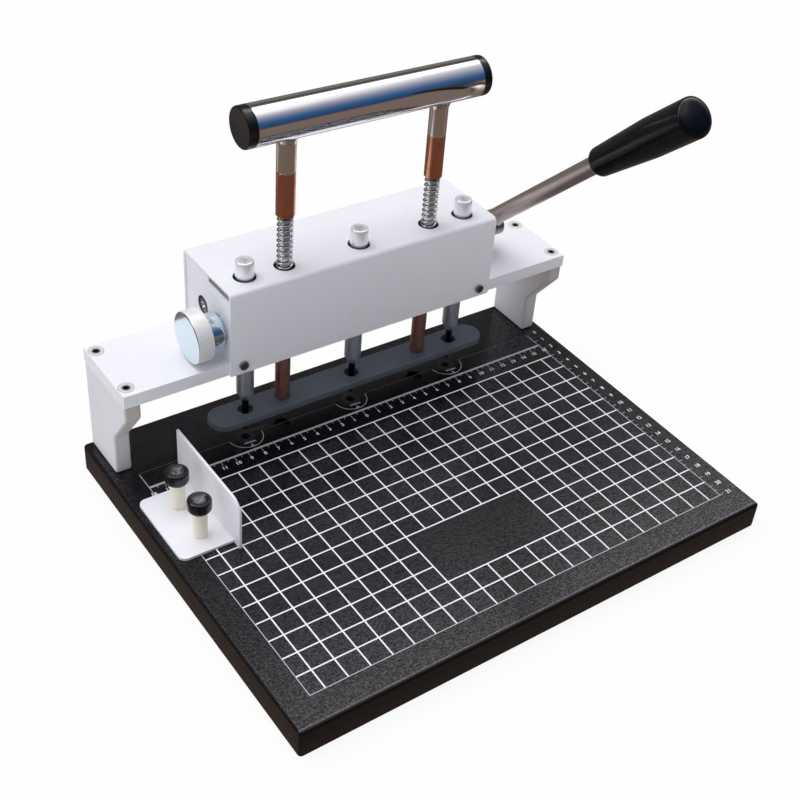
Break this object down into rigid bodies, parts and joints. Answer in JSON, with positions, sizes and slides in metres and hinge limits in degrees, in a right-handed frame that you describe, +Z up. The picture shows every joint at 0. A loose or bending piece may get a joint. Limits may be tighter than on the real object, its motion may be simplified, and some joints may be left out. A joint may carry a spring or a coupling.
{
  "type": "three-hole binding machine",
  "caption": "Manual binding machine with a heavy black board printed with a grid, a white head on a bridge, needles driven by a long side lever, a sprung press bar and a sliding side guide.",
  "frame": {"origin": "on the underside of the board, straight below the middle needle; X runs to the right along the needle line, Y to the back, Z up", "axes": "+Z up, -Y faces the person who works the machine, +X is the side with the lever"},
  "size_m": [0.356, 0.277, 0.2854],
  "materials": {
    "board": "fibreboard faced in black grained laminate with a fine light speckle",
    "pad_rubber": "matt black",
    "white_paint": "white powder coat, satin",
    "zinc_steel": "zinc plated, satin",
    "dull_steel": "turned, dull",
    "bright_steel": "ground, bright",
    "black_steel": "blackened",
    "dark_screw": "dark plated",
    "brass": "turned, dull",
    "brown_bronze": "oil-stained bronze",
    "brown_steel": "drawn rod with a brownish tint",
    "black_gloss": "moulded, glossy",
    "bar_chrome": "polished tube",
    "copper": "copper-coloured plating, satin",
    "presser_grey": "grey enamel with a bluish edge",
    "spring_steel": "drawn spring wire",
    "cream_nylon": "cream nylon"
  },
  "bodies": {
    "frame": {"base_board": "board", "needle_pads": "pad_rubber", "left_leg": "white_paint", "right_leg": "white_paint", "leg_screws": "zinc_steel", "bridge_plate": "white_paint", "bridge_screws": "dull_steel", "head_cover": "white_paint", "cover_screws": "dark_screw", "left_end_plate": "white_paint", "right_end_plate": "white_paint", "end_plate_screws": "zinc_steel", "upper_guide_plate": "zinc_steel", "needle_bushes": "dark_screw", "rod_bushes": "brass", "shaft_bushes": "brown_bronze", "lock_collar": "zinc_steel", "left_spring": "spring_steel", "right_spring": "spring_steel"},
    "lever": {"pinion_shaft": "bright_steel", "pinions": "dull_steel", "pinion_grub_screws": "black_steel", "shaft_collar": "dull_steel", "lever_hub": "dull_steel", "hub_grub_screw": "black_steel", "lever_rod": "brown_steel", "lever_grip": "black_gloss"},
    "press": {"press_bar": "bar_chrome", "left_bar_cap": "black_gloss", "right_bar_cap": "black_gloss", "bar_stubs": "dull_steel", "rod_sleeves": "copper", "press_rods": "copper", "presser_plate": "presser_grey", "presser_screws": "zinc_steel"},
    "lock": {"lock_knob": "zinc_steel", "lock_stud": "zinc_steel"},
    "guide": {"side_guide": "white_paint", "slide_nuts": "zinc_steel"},
    "front_thumb": {"front_thumb_cap": "black_gloss", "front_thumb_stem": "cream_nylon", "front_thumb_bolt": "zinc_steel"},
    "rear_thumb": {"rear_thumb_cap": "black_gloss", "rear_thumb_stem": "cream_nylon", "rear_thumb_bolt": "zinc_steel"},
    "left_needle_unit": {"left_plunger": "bright_steel", "left_cap": "bright_steel", "left_chuck": "dull_steel", "left_needle": "black_steel"},
    "middle_needle_unit": {"middle_plunger": "bright_steel", "middle_cap": "bright_steel", "middle_chuck": "dull_steel", "middle_needle": "black_steel"},
    "right_needle_unit": {"right_plunger": "bright_steel", "right_cap": "bright_steel", "right_chuck": "dull_steel", "right_needle": "black_steel"}
  },
  "joints": [
    {"name": "lever_turn", "type": "hinge", "parent": "frame", "child": "lever", "pos_m": [0, 0.0222, 0.1185], "axis": [1, 0, 0], "range_deg": [-50, 27]},
    {"name": "left_needle_stroke", "type": "slide", "parent": "frame", "child": "left_needle_unit", "axis": [0, 0, -1], "range_m": [-0.0158, 0.0086]},
    {"name": "middle_needle_stroke", "type": "slide", "parent": "frame", "child": "middle_needle_unit", "axis": [0, 0, -1], "range_m": [-0.0158, 0.0086]},
    {"name": "right_needle_stroke", "type": "slide", "parent": "frame", "child": "right_needle_unit", "axis": [0, 0, -1], "range_m": [-0.0158, 0.0086]},
    {"name": "press_stroke", "type": "slide", "parent": "frame", "child": "press", "axis": [0, 0, -1], "range_m": [0, 0.0175], "stiffness_N_per_m": 3000, "springref_m": -0.01, "deforming": ["left_spring", "right_spring"]},
    {"name": "lock_turn", "type": "hinge", "parent": "frame", "child": "lock", "pos_m": [-0.1121, 0, 0.1144], "axis": [1, 0, 0], "range_deg": [0, 90]},
    {"name": "guide_slide", "type": "slide", "parent": "frame", "child": "guide", "axis": [1, 0, 0], "range_m": [-0.004, 0.008]},
    {"name": "front_thumb_turn", "type": "hinge", "parent": "guide", "child": "front_thumb", "pos_m": [-0.1528, -0.07, 0.04], "axis": [0, 0, 1], "range_deg": [0, 180]},
    {"name": "rear_thumb_turn", "type": "hinge", "parent": "guide", "child": "rear_thumb", "pos_m": [-0.1528, -0.0405, 0.04], "axis": [0, 0, 1], "range_deg": [0, 180]}
  ],
  "couplings": [
    {"joint": "left_needle_stroke", "follows": "lever_turn", "m_per_rad": 0.018},
    {"joint": "middle_needle_stroke", "follows": "lever_turn", "m_per_rad": 0.018},
    {"joint": "right_needle_stroke", "follows": "lever_turn", "m_per_rad": 0.018}
  ]
}
